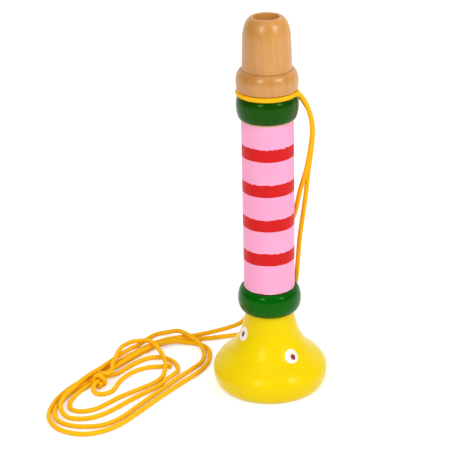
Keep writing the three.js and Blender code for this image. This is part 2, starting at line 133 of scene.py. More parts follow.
HANG_1 = [
    (11.3, -5.1, 137.1), (12.4, -4.1, 137.0), (13.3, -3.0, 136.6), (14.3, -2.3, 135.2), (15.6, -1.5, 133.0),
    (17.1, -0.6, 129.4), (18.4, 0.5, 124.6), (18.9, 1.8, 117.8), (17.9, 2.8, 108.4), (16.2, 3.9, 99.3),
    (13.6, 5.4, 89.0), (11.8, 7.3, 79.9), (9.2, 10.2, 70.5), (6.2, 13.0, 61.0), (2.9, 15.6, 51.5),
    (-0.8, 18.4, 41.5), (-4.6, 21.2, 32.5), (-8.6, 24.2, 23.5), (-12.7, 27.6, 15.3), (-18.7, 33.0, 9.6),
    (-25.4, 38.2, 5.0), (-31.0, 41.4, 2.0),
]
HANG_2 = [
    (8.8, 8.8, 137.1), (10.4, 9.0, 136.8), (11.6, 8.5, 135.9), (12.4, 7.5, 134.8), (13.5, 6.4, 133.0),
    (15.4, 5.2, 130.6), (17.4, 4.6, 127.0), (18.7, 4.5, 122.8), (19.2, 5.2, 116.4), (18.5, 6.1, 107.4),
    (17.4, 6.8, 98.6), (16.5, 7.1, 89.0), (15.3, 7.4, 79.6), (13.6, 8.1, 66.0), (12.8, 9.0, 55.3),
    (12.1, 10.4, 46.0), (10.9, 13.4, 38.6), (8.8, 17.4, 31.2), (6.0, 21.8, 24.2), (2.8, 26.4, 17.5),
    (-0.8, 30.8, 11.4), (-4.8, 34.8, 6.4), (-9.6, 38.5, 3.0), (-15.2, 40.8, 1.5), (-21.0, 40.2),
    (-27.0, 38.7),
]
FLOOR_1 = {
    "to_first_bend": [
        (-36.5, 40.9), (-42.6, 39.5), (-47.4, 38.0), (-52, 35.6), (-57, 31.2), (-61.2, 26.8), (-65.3, 21.8),
        (-70, 15.6), (-75, 9.7), (-80.7, 3.2), (-85.8, -3), (-90.6, -9.9), (-94.6, -18.6), (-96.6, -28),
        (-96, -36), (-91.8, -43.6), (-86.5, -47.2), (-80.8, -48.7),
    ],
    "to_second_bend": [
        (-76, -48.2), (-70.5, -45.7), (-65.3, -41.3), (-59.3, -33.3), (-51.2, -21), (-43.6, -10),
        (-36.8, -0.8), (-32.3, 5.7), (-29.1, 12.6), (-28.1, 18.5), (-28.4, 25), (-30.7, 29.9), (-35.5, 33),
        (-41.5, 34.1), (-46.4, 33), (-50.4, 30.8), (-54.4, 27.6), (-58.2, 23.8), (-62, 19.2), (-66.5, 13.3),
        (-71.3, 6.8), (-76.6, 0), (-81.8, -6.6), (-85.3, -12), (-87.4, -17.2), (-88.4, -22), (-88, -26.4),
        (-85.9, -28.8), (-82.6, -29.6),
    ],
    "to_knot": [
        (-77.4, -28), (-72.2, -23.2), (-66.9, -17.3), (-61.2, -12.4), (-56.2, -8.2), (-51.4, -3.4),
        (-48.7, 1.6), (-47.9, 8), (-48.8, 13.6), (-50.5, 19.2), (-53, 23.6), (-56.6, 27.6), (-60.8, 30.2),
        (-64.9, 29.2), (-68.1, 23.4), (-69.9, 16.6), (-71.1, 10.4, 5), (-71.9, 5, 5.8), (-71.6, 0.6, 5.7),
        (-72.2, -3.2, 5.8), (-73.8, -5.2, 6),
    ],
}
FLOOR_2 = {
    "to_first_bend": [
        (-33.2, 37.8), (-38, 37.2), (-42.4, 36.9), (-46.3, 35.6), (-50.4, 33.5), (-55.2, 29.3), (-59.2, 25),
        (-63.2, 20.1), (-68, 13.9), (-73, 7.9), (-78.7, 1.4), (-83.8, -4.8), (-88.4, -11.5), (-92, -19.7),
        (-94, -27), (-94.1, -32.6), (-92.3, -37), (-88.2, -40.5), (-83, -42.3), (-77.5, -42.5),
    ],
    "to_second_bend": [
        (-72.9, -41.6), (-68.5, -39), (-63.7, -33.8), (-58.8, -26.2), (-52.7, -16.9), (-45.8, -6.6),
        (-39.5, 2.8), (-35, 9.2), (-31.9, 14), (-30.5, 19.6), (-31.3, 25.6), (-33.8, 30.4), (-37.3, 35.2),
        (-41.3, 39.6), (-45.5, 42.8), (-50, 44.3), (-54.4, 42.6), (-57.8, 38.6), (-60.8, 34), (-63.4, 29),
        (-65.8, 24), (-69, 18.2), (-72.6, 12.4), (-76.4, 6.8), (-80.2, 1.6), (-83, -3), (-86, -8.6),
        (-89, -14.8), (-91.2, -20.8), (-92, -26), (-91.3, -31), (-88.6, -34.4), (-83, -36),
    ],
    "to_knot": [
        (-77.6, -35), (-72.6, -31.8), (-68.2, -27.4), (-63.7, -22), (-58.6, -16.3), (-53.2, -10.8),
        (-47.8, -4.8), (-44, 0), (-42.2, 6), (-42.9, 11.6), (-46.2, 16.8), (-51, 19.6), (-56.4, 18.7),
        (-61, 15.2), (-65.5, 9.8), (-69.4, 4.6),
    ],
    "through_knot": [
        (-72.4, -0.2, 2.6), (-75.2, -4.8, 3.8), (-77.2, -7.6, 3.8), (-78.9, -10, 3.4), (-79.2, -12.4, 2),
        (-77.5, -14.2), (-74.4, -14.5), (-71.5, -12.8), (-69.8, -9.8), (-68.9, -6.2), (-67.6, -2.1),
        (-65.5, 1.9), (-63, 5.2), (-60, 7.8), (-55, 10.1), (-50.5, 10.5), (-45.6, 10.6, 1.35),
    ],
}
HANG_START = 4  # the point of each hanging end where the turn round the neck ends
SPAN_STEPS = 10  # samples between two chosen points
NECK_STEPS = 24
KNOT_STEPS = 32
KNOT_LEAD = 3  # the sample of the knot's turns that gives their direction at the start
X, Y, Z, ALONG, STRAND = range(5)  # columns in the table of a length on the floor


def smooth_line(points):
    """A centripetal Catmull-Rom curve through the points. One without a height lies on the floor."""
    p = np.array([(*q, REST)[:3] for q in points], float)
    p = np.vstack([2 * p[0] - p[1], p, 2 * p[-1] - p[-2]])
    count = (len(points) - 1) * SPAN_STEPS
    line = []
    for i in range(count + 1):
        span = min(i // SPAN_STEPS, len(points) - 2)
        t = i / SPAN_STEPS - span
        a, b, c, d = p[span:span + 4]
        ab, bc, cd = (math.sqrt(np.linalg.norm(far - near)) for near, far in ((a, b), (b, c), (c, d)))
        leave = ((b - a) / ab - (c - a) / (ab + bc) + (c - b) / bc) * bc
        arrive = ((c - b) / bc - (d - b) / (bc + cd) + (d - c) / cd) * bc
        square = -3 * b + 3 * c - 2 * leave - arrive
        cube = 2 * b - 2 * c + leave + arrive
        line.append(b + leave * t + square * t ** 2 + cube * t ** 3)
    return np.array(line)


def run_lengths(line):
    """The distance along a line to each of its points."""
    return np.concatenate([[0], np.cumsum(np.linalg.norm(np.diff(line, axis=0), axis=1))])


def planned(strand, hang, lengths, onward=()):
    """A strand's hanging line, and a table of each of its lengths on the floor.

    The last length goes on to the first point of onward. The second only gives its direction there.
    """
    line = smooth_line([*hang, *(q for length in lengths.values() for q in length), *onward])
    line[:, Z] = np.maximum(line[:, Z], REST)
    table = np.column_stack([line, run_lengths(line * (1, 1, 0)), np.full(len(line), strand)])
    counts = [len(length) for length in lengths.values()]
    counts[-1] += 1 if onward else 0
    start = (len(hang) - 1) * SPAN_STEPS
    drop = line[HANG_START * SPAN_STEPS:start + 1]
    laid = {}
    for name, count in zip(lengths, counts):
        end = start + count * SPAN_STEPS
        laid[name] = table[start + 1 if laid else start:end + 1]
        start = end
    return drop, laid


def rest_on(stretch, pile, fade):
    """Lifts a stretch over the pile that it is laid on, in low humps with rounded ends.

    The lift fades out over the last part of the stretch, of the length fade.
    """
    over = np.full(len(stretch), -np.inf)
    if len(pile):
        gap = stretch[:, None, :] - pile[None, :, :]
        apart = np.hypot(gap[..., X], gap[..., Y])
        own = (gap[..., STRAND] == 0) & (abs(gap[..., ALONG]) < OWN_REACH)
        lift = pile[None, :, Z] + np.sqrt(np.maximum(LAY_REACH ** 2 - apart ** 2, 0))
        over = np.where((apart < LAY_REACH) & ~own, lift, -np.inf).max(1)
    run = abs(stretch[:, None, ALONG] - stretch[None, :, ALONG])
    hump = (over[None, :] - CLIMB * np.maximum(0, run - HUMP_TOP)).max(1)
    kept = np.minimum(1, run[:, -1] / fade) if fade else 1.0
    raised = stretch[:, Z] + kept * (np.maximum(stretch[:, Z], hump) - stretch[:, Z])
    reach = np.minimum(HUMP_TOP, np.minimum(run[:, 0], run[:, -1]))
    around = run <= reach[:, None]
    stretch[:, Z] = (around * raised[None, :]).sum(1) / around.sum(1)


def knot_winding():
    """The turns that the end of the first strand makes round the second."""
    start, end = (np.array(p, float) for p in FLOOR_2["through_knot"][1:3])
    along = (end - start) / np.linalg.norm(end - start)
    side = np.array((1.0, 0, 0)) - along * along[0]
    side /= np.linalg.norm(side)
    up = np.array((0, 0, 1))
    turn = np.linspace(0, KNOT_TURNS, KNOT_STEPS + 1)[:, None]
    angle = math.radians(KNOT_START) + 2 * math.pi * turn
    middle = start + along * KNOT_PITCH * turn
    return middle + side * LAY_REACH * np.cos(angle) + up * LAY_REACH * np.sin(angle)


def neck_route():
    """The turn round the neck, with both its ends out to where the strands start to hang."""
    first_angle = math.atan2(HANG_2[0][Y], HANG_2[0][X])
    last_angle = math.atan2(HANG_1[0][Y], HANG_1[0][X]) + 2 * math.pi
    turn = [
        (NECK_RADIUS * math.cos(angle), NECK_RADIUS * math.sin(angle), SEAT_Z)
        for angle in np.linspace(first_angle, last_angle, NECK_STEPS + 1)
    ]
    line = smooth_line([*HANG_2[1:HANG_START + 2][::-1], *turn, *HANG_1[1:HANG_START + 2]])
    return line[SPAN_STEPS:-SPAN_STEPS]


def joined(drop, laid):
    """A strand's whole line. Its first sample on the floor is the last of its drop, so it is left out."""
    return np.vstack([drop, np.vstack([*laid.values()])[1:, :3]])


neck_line = neck_route()
winding = knot_winding()
drop_1, laid_1 = planned(1, HANG_1, FLOOR_1, [tuple(winding[0]), tuple(winding[KNOT_LEAD])])
drop_2, laid_2 = planned(2, HANG_2, FLOOR_2)
pile = np.zeros((0, 5))
for stretch, fade in (
    (laid_1["to_first_bend"], 0),
    (laid_2["to_first_bend"], 0),
    (laid_1["to_second_bend"], 0),
    (laid_2["to_second_bend"], 0),
    (laid_2["to_knot"], 0),
    (laid_2["through_knot"], 0),
    (laid_1["to_knot"], KNOT_FADE),
):
    rest_on(stretch, pile, fade)
    pile = np.vstack([pile, stretch])
line_1 = joined(drop_1, laid_1)
line_2 = joined(drop_2, laid_2)


# Colours and shader nodes

def rgb(*channels):
    """The linear colour of an sRGB one, given in 0 to 255."""
    linear = (c / 255 / 12.92 if c <= 10 else ((c / 255 + 0.055) / 1.055) ** 2.4 for c in channels)
    return (*linear, 1.0)


class Nodes:
    """The nodes of a material or of the world."""

    def __init__(self, owner, shader="Principled BSDF"):
        owner.use_nodes = True
        self.tree = owner.node_tree
        self.shader = self.tree.nodes[shader]

    def add(self, kind, inputs=None, **settings):
        node = self.tree.nodes.new(kind)
        for key, value in settings.items():
            setattr(node, key, value)
        for key, value in (inputs or {}).items():
            self.put(node.inputs[key], value)
        return node

    def put(self, socket, value):
        if isinstance(value, bpy.types.NodeSocket):
            self.tree.links.new(value, socket)
        else:
            socket.default_value = value

    def set(self, **values):
        """Sets inputs of the shader, by their names with underscores for spaces."""
        for key, value in values.items():
            self.put(self.shader.inputs[key.replace("_", " ")], value)

    def linked(self, name):
        """What an input of the shader is linked to so far."""
        return self.shader.inputs[name].links[0].from_socket

    def math(self, operation, *values, clamp=False):
        node = self.add("ShaderNodeMath", operation=operation, use_clamp=clamp)
        for socket, value in zip(node.inputs, values):
            self.put(socket, value)
        return node.outputs[0]

    def plus(self, a, b):
        return self.math("ADD", a, b)

    def minus(self, a, b):
        return self.math("SUBTRACT", a, b)

    def times(self, a, b):
        return self.math("MULTIPLY", a, b)

    def above(self, value, low, high):
        """0 below low, 1 above high and smooth between."""
        limits = {"Value": value, "From Min": low, "From Max": high}
        return self.add("ShaderNodeMapRange", limits, interpolation_type="SMOOTHSTEP").outputs["Result"]

    def below(self, value, low, high):
        """1 below low, 0 above high and smooth between."""
        return self.minus(1.0, self.above(value, low, high))

    def place(self):
        return self.add("ShaderNodeTexCoord").outputs["Object"]

    def parts(self, vector):
        return self.add("ShaderNodeSeparateXYZ", {"Vector": vector}).outputs

    def height(self, at):
        """Height above the floor in millimetres."""
        return self.times(self.parts(at)["Z"], 1 / MM)

    def scaled(self, vector, x=1, y=1, z=1):
        return self.add("ShaderNodeMapping", {"Vector": vector, "Scale": (x, y, z)}).outputs[0]

    def noise(self, vector, scale, detail, rough=0.5):
        inputs = {"Vector": vector, "Scale": scale, "Detail": detail, "Roughness": rough}
        return self.add("ShaderNodeTexNoise", inputs).outputs["Fac"]

    def mix(self, factor, a, b, blend="MIX"):
        """Mixes two colours. Of the node's many sockets, 0, 6, 7 and the output 2 are those for colours."""
        inputs = {0: factor, 6: a, 7: b}
        return self.add("ShaderNodeMix", inputs, data_type="RGBA", blend_type=blend).outputs[2]

    def bump(self, height, distance, strength, normal=None):
        inputs = {"Height": height, "Distance": distance, "Strength": strength}
        if normal is not None:
            inputs["Normal"] = normal
        return self.add("ShaderNodeBump", inputs).outputs[0]


# Wood

RING_SHIFT = (0.031, 0.012, 0.0)  # metres by which the growth rings' middle lies off the piece's axis
RING_SWAY = 0.006  # metres by which the rings stray from round
RING_SHARE, FIBRE_SHARE, BLOTCH_SHARE = 0.1, 0.32, 0.7  # of each in the wood's tone
FLECK_DEPTH = 0.25
SHADED_SIDE = (-0.012, 0.006)  # X in metres where the painted shade on the left side starts to fade, and where it ends
SIDE_SHADE_TINT = (0.82, 0.78, 0.72, 1)  # what the colour on the painted-shade side is multiplied by
# Painted shade in the crease between the mouthpiece's collar and nose: a darker band of wood, this half
# width round this height
CREASE_Z = SEAT_Z + MOUTHPIECE.nose_start
CREASE_SHADE_HALF_WIDTH = 0.4


def wood_colours(n, light, dark):
    """A wood's colour and its fibres: rings round an axis beside the piece, long fibres, dark flecks."""
    at = n.place()
    shifted = n.add("ShaderNodeMapping", {"Vector": at, "Location": RING_SHIFT}).outputs[0]
    cloud = n.add("ShaderNodeTexNoise", {"Vector": n.scaled(at, z=0.25), "Scale": 45.0, "Detail": 2.0})
    stray = {0: cloud.outputs["Color"], "Scale": RING_SWAY}
    sway = n.add("ShaderNodeVectorMath", stray, operation="SCALE").outputs[0]
    warped = n.add("ShaderNodeVectorMath", {0: shifted, 1: sway}, operation="ADD").outputs[0]
    wave = {
        "Vector": n.scaled(warped, z=0.04), "Scale": 95.0,
        "Distortion": 1.2, "Detail": 2.0, "Detail Scale": 1.6,
    }
    rings = n.add("ShaderNodeTexWave", wave, wave_type="RINGS", rings_direction="Z", wave_profile="SAW")
    fibres = n.noise(n.scaled(at, z=0.045), scale=2600.0, detail=4.0, rough=0.6)
    flecks = n.noise(n.scaled(at, z=0.22), scale=1500.0, detail=1.0)
    blotch = n.noise(n.scaled(at, z=0.35), scale=70.0, detail=3.0)
    tone = n.plus(n.times(rings.outputs["Fac"], RING_SHARE), n.times(fibres, FIBRE_SHARE))
    tone = n.plus(tone, n.times(blotch, BLOTCH_SHARE))
    base = n.mix(n.above(tone, 0.35, 0.95), light, dark)
    return n.mix(n.times(n.above(flecks, 0.66, 0.72), FLECK_DEPTH), base, dark), fibres


def turned_wood(name, light, dark, roughness, gloss):
    material = bpy.data.materials.new(name)
    n = Nodes(material)
    colour, fibres = wood_colours(n, light, dark)
    n.set(Base_Color=colour, Roughness=roughness, Specular_IOR_Level=gloss)
    n.set(Normal=n.bump(fibres, distance=0.00002, strength=0.4))
    return material


def lacquered_wood():
    """The mouthpiece's wood, with painted shade on its left side and in the crease between its collar and
    its nose.
    """
    material = turned_wood(
        "lacquered_wood", light=rgb(220, 155, 66), dark=rgb(187, 121, 42), roughness=0.34, gloss=0.95,
    )
    n = Nodes(material)
    at = n.place()
    # Painted shade: the wood darkens towards its left side (-X), where less light falls
    side_shade = n.below(n.parts(at)["X"], *SHADED_SIDE)
    colour = n.mix(side_shade, n.linked("Base Color"), SIDE_SHADE_TINT, "MULTIPLY")
    # Painted shade: the wood darkens in the crease between collar and nose
    off = n.math("ABSOLUTE", n.minus(n.height(at), CREASE_Z))
    n.set(Base_Color=n.mix(n.below(off, 0.0, CREASE_SHADE_HALF_WIDTH), colour, rgb(186, 120, 60)))
    return material


# Paint

STRIPES = [(114.8, 109.2), (98.8, 93.2), (82.8, 77.3), (67.0, 61.3)]  # heights of their edges
UPPER_EDGE_BLUR, LOWER_EDGE_BLUR = 0.1, 0.08

# Heights between which a rim of the tube fades: bare wood at its top; worn paint, and a dark line of
# painted shade where it meets the lower ring, at its bottom
BARE_RIM = (TUBE_TOP - 0.95, TUBE_TOP - 0.8)
WORN_RIM = (RING_TOP + 0.8, RING_TOP + 1.0)
SHADED_RIM = (RING_TOP + 0.35, RING_TOP + 0.55)


def enamel(name, colour, shade, roughness, gloss, tint=WHITE):
    """Sprayed gloss paint: slightly uneven in tone, with the turned wood's ridges faint under it."""
    material = bpy.data.materials.new(name)
    n = Nodes(material)
    at = n.place()
    cloud = n.noise(at, scale=60.0, detail=2.0)
    ridges = n.noise(n.scaled(at, x=0.05, y=0.05), scale=900.0, detail=2.0)
    peel = n.noise(at, scale=1100.0, detail=2.0)
    relief = n.plus(n.times(ridges, 0.5), peel)
    n.set(Base_Color=n.mix(n.above(cloud, 0.25, 0.75), colour, shade))
    n.set(Roughness=roughness, Specular_IOR_Level=gloss, Specular_Tint=tint)
    n.set(Normal=n.bump(relief, distance=0.00002, strength=0.5))
    return material


def tube_paint():
    """Pink enamel, and four red stripes brushed on while the tube turned, with ragged upper edges."""
    material = enamel(
        "pink_enamel", colour=rgb(254, 174, 211), shade=rgb(252, 166, 203), roughness=0.4, gloss=0.12,
    )
    n = Nodes(material)
    at = n.place()
    z = n.height(at)
    ragged = n.noise(n.scaled(at, z=0.3), scale=700.0, detail=3.0, rough=0.7)
    coarse = n.noise(n.scaled(at, z=0.2), scale=190.0, detail=1.0)
    cloud = n.noise(at, scale=90.0, detail=2.0)

    def strayed(height, noise, reach):
        return n.plus(height, n.times(n.minus(noise, 0.5), reach))

    upper = strayed(strayed(z, ragged, 1.5), coarse, 0.8)
    lower = strayed(z, coarse, 0.5)
    rim = strayed(z, ragged, 0.5)
    stripes = 0.0
    for top, bottom in STRIPES:
        over_bottom = n.above(lower, bottom - LOWER_EDGE_BLUR, bottom + LOWER_EDGE_BLUR)
        under_top = n.below(upper, top - UPPER_EDGE_BLUR, top + UPPER_EDGE_BLUR)
        stripes = n.math("ADD", stripes, n.times(over_bottom, under_top), clamp=True)
    red = n.mix(cloud, rgb(220, 30, 30), rgb(208, 24, 26))
    colour = n.mix(stripes, n.linked("Base Color"), red)
    colour = n.mix(n.above(rim, *BARE_RIM), colour, rgb(222, 184, 140))
    worn = n.times(n.below(rim, *WORN_RIM), n.above(coarse, 0.4, 0.55))
    colour = n.mix(worn, colour, rgb(255, 222, 226))
    # Painted shade: a dark line along the bottom edge, in the joint with the lower ring
    n.set(Base_Color=n.mix(n.below(rim, *SHADED_RIM), colour, rgb(122, 30, 34)))
    n.set(Normal=n.bump(stripes, distance=0.00004, strength=0.6, normal=n.linked("Normal")))
    return material


# Cord, dabs and reed

YARNS = 8.0  # of each set, round the cord
YARN_SLANT = 1.1  # how many yarns' widths a yarn moves round in a millimetre of cord
YARN_DIP = 0.3  # how much lower a yarn runs where it goes under another


def braid():
    """A round plaited cord: two sets of yarns crossing on the slant, with a soft nap, and painted shade in
    the valleys between the yarns.
    """
    material = bpy.data.materials.new("plaited_cord")
    n = Nodes(material)
    on_cord = n.parts(n.add("ShaderNodeUVMap", uv_map="cord").outputs[0])
    slant = n.times(on_cord["X"], YARN_SLANT)
    turns = n.times(on_cord["Y"], YARNS)
    lead, lag = n.plus(turns, slant), n.minus(turns, slant)
    ridge_1, ridge_2 = (n.math("SINE", n.times(n.math("FRACT", way), math.pi)) for way in (lead, lag))
    over = n.math("GREATER_THAN", n.math("SINE", n.times(lead, math.pi)), 0.0)
    dip = n.times(over, YARN_DIP)
    first = n.times(ridge_1, n.plus(1 - YARN_DIP, dip))
    second = n.times(ridge_2, n.minus(1.0, dip))
    relief = n.math("MAXIMUM", first, second)
    cloud = n.noise(n.place(), scale=240.0, detail=2.0)
    # Painted shade: the yarns are darker where they dip into the valleys between them
    base = n.mix(n.above(relief, 0.35, 0.95), rgb(254, 176, 2), rgb(254, 199, 22))
    n.set(Base_Color=n.mix(n.times(n.above(cloud, 0.3, 0.8), 0.35), base, rgb(255, 184, 6)))
    n.set(Roughness=0.75, Specular_IOR_Level=0.15)
    n.set(Sheen_Weight=0.15, Sheen_Roughness=0.4, Sheen_Tint=rgb(255, 176, 20))
    n.set(Normal=n.bump(relief, distance=0.00005, strength=0.5))
    return material


def even(name, colour, shade, roughness, coat, metallic=0.0, scale=300.0):
    """A nearly even finish: a faint cloud in the colour, and a fine grain in the surface."""
    material = bpy.data.materials.new(name)
    n = Nodes(material)
    at = n.place()
    cloud = n.noise(at, scale, detail=3.0)
    grain = n.noise(at, 6 * scale, detail=2.0)
    n.set(Base_Color=n.mix(cloud, colour, shade), Roughness=roughness, Coat_Weight=coat, Metallic=metallic)
    n.set(Normal=n.bump(grain, distance=0.00002, strength=0.4))
    return material


# All the materials

lacquered = lacquered_wood()
bored = turned_wood(
    "bored_wood", light=rgb(222, 158, 84), dark=rgb(178, 110, 44), roughness=0.7, gloss=0.1,
)
bare = turned_wood(
    "bare_wood", light=rgb(226, 196, 152), dark=rgb(198, 160, 112), roughness=0.75, gloss=0.1,
)
yellow = enamel(
    "yellow_enamel", rgb(242, 212, 0), rgb(239, 206, 0), roughness=0.25, gloss=0.2, tint=(1, 1, 0.45, 1),
)
green_dark = enamel(
    "dark_green_enamel", rgb(15, 73, 0), rgb(20, 68, 0), roughness=0.22, gloss=0.25, tint=(0.5, 1, 0.35, 1),
)
green = enamel(
    "green_enamel", rgb(0, 93, 0), rgb(0, 84, 0), roughness=0.22, gloss=0.25, tint=(0.45, 1, 0.35, 1),
)
pink = tube_paint()
white_dab = even("white_paint", rgb(249, 244, 236), rgb(244, 239, 231), roughness=0.35, coat=0.3)
pupil_dab = even("dark_red_paint", rgb(156, 14, 18), rgb(126, 10, 14), roughness=0.4, coat=0.05)
cord_fabric = braid()
resin = even("reed_plastic", rgb(233, 226, 205), rgb(222, 214, 190), roughness=0.45, coat=0.1)
brass = even(
    "reed_brass", rgb(205, 168, 88), rgb(186, 146, 66), roughness=0.28, coat=0.0, metallic=1.0, scale=900.0,
)


# Turned pieces

SIDES = 192
SAME_POINT = 1e-4  # outline points nearer than this are one
SHARP_ANGLE = 38.0
WALL_STEPS = 168
BORE_STEPS = 40
BARREL_POINTS, BARREL_MARGIN = 60, 1.0
NOSE_POINTS = 20
HOLE_POINTS, HOLE_MARGIN = 10, 2.0


def ellipse(centre, size, start, end, steps):
    """Points round an ellipse from one angle to another, in degrees."""
    angles = np.radians(np.linspace(start, end, steps + 1))
    return [(centre[0] + size[0] * math.cos(a), centre[1] + size[1] * math.sin(a)) for a in angles]


def bezier(p0, p1, p2, p3, steps):
    t = np.linspace(0, 1, steps + 1)[:, None]
    p0, p1, p2, p3 = (np.array(p, float) for p in (p0, p1, p2, p3))
    points = (1 - t) ** 3 * p0 + 3 * (1 - t) ** 2 * t * p1 + 3 * (1 - t) * t ** 2 * p2 + t ** 3 * p3
    return [tuple(p) for p in points]


def straight(radius, start, end, count):
    """Points along a straight wall."""
    return [(radius, z) for z in np.linspace(start, end, count)]


def new_piece(name, vertices, faces, materials, slots=None, sharp=SHARP_ANGLE):
    """A mesh from points in millimetres, smooth except where its faces turn by more than sharp degrees."""
    mesh = bpy.data.meshes.new(name)
    mesh.from_pydata([tuple(np.array(v) * MM) for v in vertices], [], faces)
    for material in materials:
        mesh.materials.append(material)
    if slots is not None:
        mesh.polygons.foreach_set("material_index", slots)
    mesh.polygons.foreach_set("use_smooth", [True] * len(mesh.polygons))
    mesh.set_sharp_from_angle(angle=math.radians(sharp))
    mesh.validate()
    piece = bpy.data.objects.new(name, mesh)
    scene.collection.objects.link(piece)
    return piece


def turned(name, materials, runs):
    """A solid of revolution. Each run is a list of (radius, height) and the material of that surface."""
    outline, owners = [], []
    for points, material in runs:
        owner = materials.index(material)
        for p in points:
            if outline and math.dist(outline[-1], p) < SAME_POINT:
                continue
            if outline:
                owners.append(owner)
            outline.append(p)
    owners.append(owner)
    if math.dist(outline[0], outline[-1]) < SAME_POINT:
        outline.pop()
        owners.pop()
    vertices, faces, slots = [], [], []
    size = len(outline)
    for i in range(SIDES):
        a = 2 * math.pi * i / SIDES
        vertices += [(r * math.cos(a), r * math.sin(a), z) for r, z in outline]
        here, there = i * size, (i + 1) % SIDES * size
        for k in range(size):
            m = (k + 1) % size
            faces.append((here + k, there + k, there + m, here + m))
            slots.append(owners[k])
    return new_piece(name, vertices, faces, materials, slots)


def bell_outline():
    """Round lip, shoulder, and a hollow flare up to the neck."""
    share = (np.arange(WALL_STEPS) + 0.5) / WALL_STEPS
    lean = np.radians(np.interp(share, *zip(*BELL_LEAN)))
    lip = np.array((BELL.lip_radius, BELL.lip_height))
    neck = np.array((BELL.neck_radius, BELL.height))
    way = np.cumsum(np.stack([-np.sin(lean), np.cos(lean)], axis=1), axis=0)
    wall = lip + way * (neck - lip) / way[-1]
    lip_size = (BELL.lip_radius - BELL.foot_outer, BELL.lip_height)
    foot = ellipse((BELL.foot_outer, BELL.lip_height), lip_size, -90, 0, steps=24)
    return [*foot, *(tuple(p) for p in wall)]


def make_bell():
    shoulder = BELL.height - BELL.socket_depth
    bevel, rise = BELL.foot_bevel
    inside = bezier(
        (TUBE.bore, shoulder), (TUBE.bore, shoulder - BELL.bore_handle),
        (BELL.foot_inner, BELL.mouth_handle), (BELL.foot_inner, rise), BORE_STEPS,
    )
    socket = [
        (BELL.neck_radius, BELL.height), (SOCKET, BELL.height), (SOCKET, shoulder), (TUBE.bore, shoulder),
    ]
    foot = [(BELL.foot_inner, rise), (BELL.foot_inner + bevel, 0), (BELL.foot_outer, 0)]
    runs = [(bell_outline(), yellow), ([*socket, *inside], bare), (foot, yellow)]
    return turned("bell_turned", [yellow, bare], runs)


def make_ring(name, ring, z, paint, cove=0):
    """A bead round the tube's tenon. A cove is the radius of the half groove cut in its top."""
    start = math.acos((ring.top_radius - NECK_RADIUS) / cove) if cove else 0
    top = z + ring.height
    belly = z + ring.max_height
    lip = top - cove * math.sin(start)
    lower_size = (ring.max_radius - ring.bottom_radius, ring.max_height)
    upper_size = (ring.max_radius - ring.top_radius, lip - belly)
    outside = [
        (SOCKET, z), (ring.bottom_radius, z),
        *ellipse((ring.bottom_radius, belly), lower_size, -90, 0, steps=20),
        *ellipse((ring.top_radius, belly), upper_size, 0, 90, steps=20),
    ]
    if cove:
        outside += ellipse((NECK_RADIUS, top), (cove, cove), -math.degrees(start), -180, steps=10)
    outside.append((SOCKET, top))
    hole = [(SOCKET, top), (SOCKET, z)]
    return turned(name, [paint, bare], [(outside, paint), (hole, bare)])


def make_tube():
    """The painted barrel, with a tenon at each end that passes through a ring."""
    bottom = BELL.height - BELL.socket_depth + END_GAP
    top = SEAT_Z - END_GAP
    radius, edge, bore = TUBE.radius, TUBE.edge, TUBE.bore
    barrel = straight(radius, RING_TOP + BARREL_MARGIN, TUBE_TOP - BARREL_MARGIN, BARREL_POINTS)
    lower_end = [(bore, bottom), (TENON, bottom), (TENON, RING_TOP), (radius - edge, RING_TOP)]
    painted = [
        (radius - edge, RING_TOP), (radius, RING_TOP + edge), *barrel,
        (radius, TUBE_TOP - edge), (radius - edge, TUBE_TOP),
    ]
    upper_end = [(radius - edge, TUBE_TOP), (TENON, TUBE_TOP), (TENON, top), (bore, top), (bore, bottom)]
    return turned("tube_turned", [pink, bare], [(lower_end, bare), (painted, pink), (upper_end, bare)])


def make_mouthpiece():
    """Spigot, collar over the cord's groove, domed nose with a round lip, and the chamber for the reed."""
    m = MOUTHPIECE
    top = SEAT_Z + m.height
    dome = SEAT_Z + m.dome_start
    chamber = top - m.chamber_depth
    plug = SEAT_Z - m.spigot_length
    radius = TUBE.bore - FIT
    bevel, rise = m.spigot_bevel
    spigot = [(m.plug_bore, plug), (radius - bevel, plug), (radius, plug + rise), (radius, SEAT_Z)]
    groove = ellipse((NECK_RADIUS, SEAT_Z), (COVE, COVE), 180, 90, steps=10)
    collar_z = SEAT_Z + m.collar_max
    collar_foot = (m.collar_radius - m.collar_bottom, m.collar_max - COVE)
    collar_head = (m.collar_radius - m.nose_bottom, m.collar_height - m.collar_max)
    nose = [
        (m.nose_bottom - (m.nose_bottom - m.nose_top) * t,
         SEAT_Z + m.nose_start + t * (m.dome_start - m.nose_start))
        for t in np.linspace(0, 1, NOSE_POINTS)
    ]
    lip = m.mouth_radius + m.lip_round
    outside = [
        (radius, SEAT_Z), (NECK_RADIUS - COVE, SEAT_Z), *groove, (m.collar_bottom, SEAT_Z + COVE),
        *ellipse((m.collar_bottom, collar_z), collar_foot, -90, 0, steps=12),
        *ellipse((m.nose_bottom, collar_z), collar_head, 0, m.collar_end_angle, steps=24),
        *nose,
        *ellipse((m.lip_radius, dome), (m.nose_top - m.lip_radius, top - dome), 0, 90, steps=28),
        (lip, top),
        *ellipse((lip, top - m.lip_round), (m.lip_round, m.lip_round), 90, 180, steps=8),
    ]
    inside = [
        (m.mouth_radius, top - m.lip_round),
        *straight(m.mouth_radius, top - HOLE_MARGIN, chamber, HOLE_POINTS),
        (m.plug_bore, chamber - m.chamber_taper), (m.plug_bore, plug),
    ]
    runs = [(spigot, bare), (outside, lacquered), (inside, bored)]
    return turned("mouthpiece_turned", [lacquered, bored, bare], runs)


